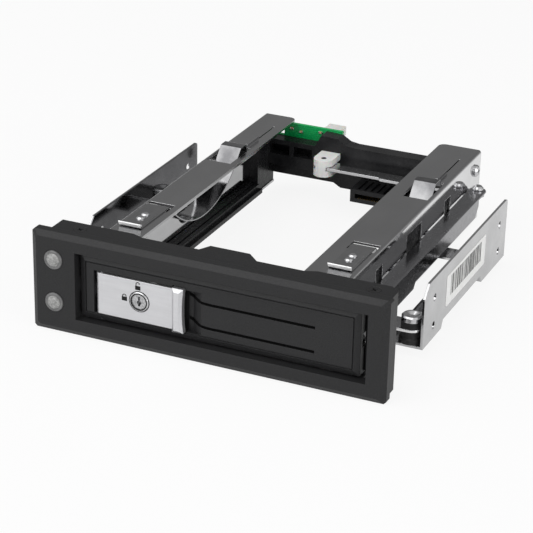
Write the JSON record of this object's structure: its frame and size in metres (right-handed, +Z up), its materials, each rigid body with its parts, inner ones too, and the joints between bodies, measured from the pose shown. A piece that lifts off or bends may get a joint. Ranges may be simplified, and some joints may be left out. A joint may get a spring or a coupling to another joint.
{
  "type": "hot swap drive cage",
  "caption": "Trayless hot swap cage for one 3.5 inch drive in a 5.25 inch bay, with a hinged locking door, ejector lever, leaf springs and rubber mounted side brackets.",
  "frame": {"origin": "under the middle of the whole cage, at the height of the bezel's lower edge", "axes": "+X to the right seen from the front, +Y from the bezel to the connectors, +Z up"},
  "size_m": [0.148, 0.1878, 0.042],
  "materials": {
    "black_plastic": "fine spark texture",
    "black_moulding": "smooth",
    "black_connector": "smooth",
    "white_connector": "smooth",
    "white_nylon": "smooth",
    "green_board": "solder mask",
    "clear_lens": "clear",
    "grey_trim": "smooth",
    "silver_plate": "fine brushed",
    "polished_sheet": "dark polished nickel",
    "bracket_sheet": "satin nickel",
    "spring_steel": "bright",
    "bright_steel": "bright",
    "dark_steel": "dark nickel",
    "black_screw": "black oxide",
    "black_rubber": "matt"
  },
  "bodies": {
    "cage": {"bezel": "black_plastic", "bezel_screws": "black_screw", "indicator_rings": "grey_trim", "light_pipe_upper": "clear_lens", "light_pipe_lower": "clear_lens", "indicator_board": "green_board", "hinge_pin": "bright_steel", "cage_side_left": "polished_sheet", "cage_side_right": "polished_sheet", "guide_rail_left": "black_moulding", "guide_rail_right": "black_moulding", "leaf_spring_left": "spring_steel", "leaf_spring_right": "spring_steel", "spring_rivets": "bright_steel", "bracket_left": "bracket_sheet", "bracket_right": "bracket_sheet", "rubber_posts": "black_rubber", "post_bolts": "bright_steel", "slide_rivets": "bright_steel", "pivot_block": "white_nylon", "lever_pivot_pin": "bright_steel", "rear_crossbar": "black_moulding", "crossbar_screws": "bright_steel", "backplane_board": "green_board", "board_screws": "bright_steel", "drive_socket": "black_connector", "data_port": "black_connector", "power_port": "black_connector", "cable_header": "white_connector"},
    "door": {"door_panel": "black_plastic", "door_crank": "bright_steel", "crank_pin": "bright_steel", "handle_pivot_pin": "bright_steel", "latch_spring": "spring_steel"},
    "link": {"eject_link": "dark_steel"},
    "lever": {"ejector_lever": "bright_steel", "lever_pin": "bright_steel"},
    "handle": {"latch_handle": "silver_plate", "lock_barrel": "bright_steel"},
    "lock": {"lock_core": "bright_steel", "lock_cam": "bright_steel"}
  },
  "joints": [
    {"name": "door_hinge", "type": "hinge", "parent": "cage", "child": "door", "pos_m": [0.06, -0.08455, 0.0212], "axis": [0, 0, 1], "range_deg": [0, 90]},
    {"name": "link_slide", "type": "slide", "parent": "cage", "child": "link", "axis": [0, -1, 0], "range_m": [0, 0.01061]},
    {"name": "lever_turn", "type": "hinge", "parent": "cage", "child": "lever", "pos_m": [-0.019, 0.06945, 0.0205], "axis": [0, 0, -1], "range_deg": [0, 8.44]},
    {"name": "handle_pull", "type": "hinge", "parent": "door", "child": "handle", "pos_m": [-0.045, -0.08855, 0.0198], "axis": [0, 0, -1], "range_deg": [0, 35], "stiffness_Nm_per_rad": 0.01},
    {"name": "lock_turn", "type": "hinge", "parent": "handle", "child": "lock", "pos_m": [-0.028, -0.09055, 0.0198], "axis": [0, -1, 0], "range_deg": [0, 90]}
  ],
  "couplings": [
    {"joint": "link_slide", "follows": "door_hinge", "m_per_rad": 0.0067524},
    {"joint": "lever_turn", "follows": "door_hinge", "ratio": 0.093732}
  ]
}
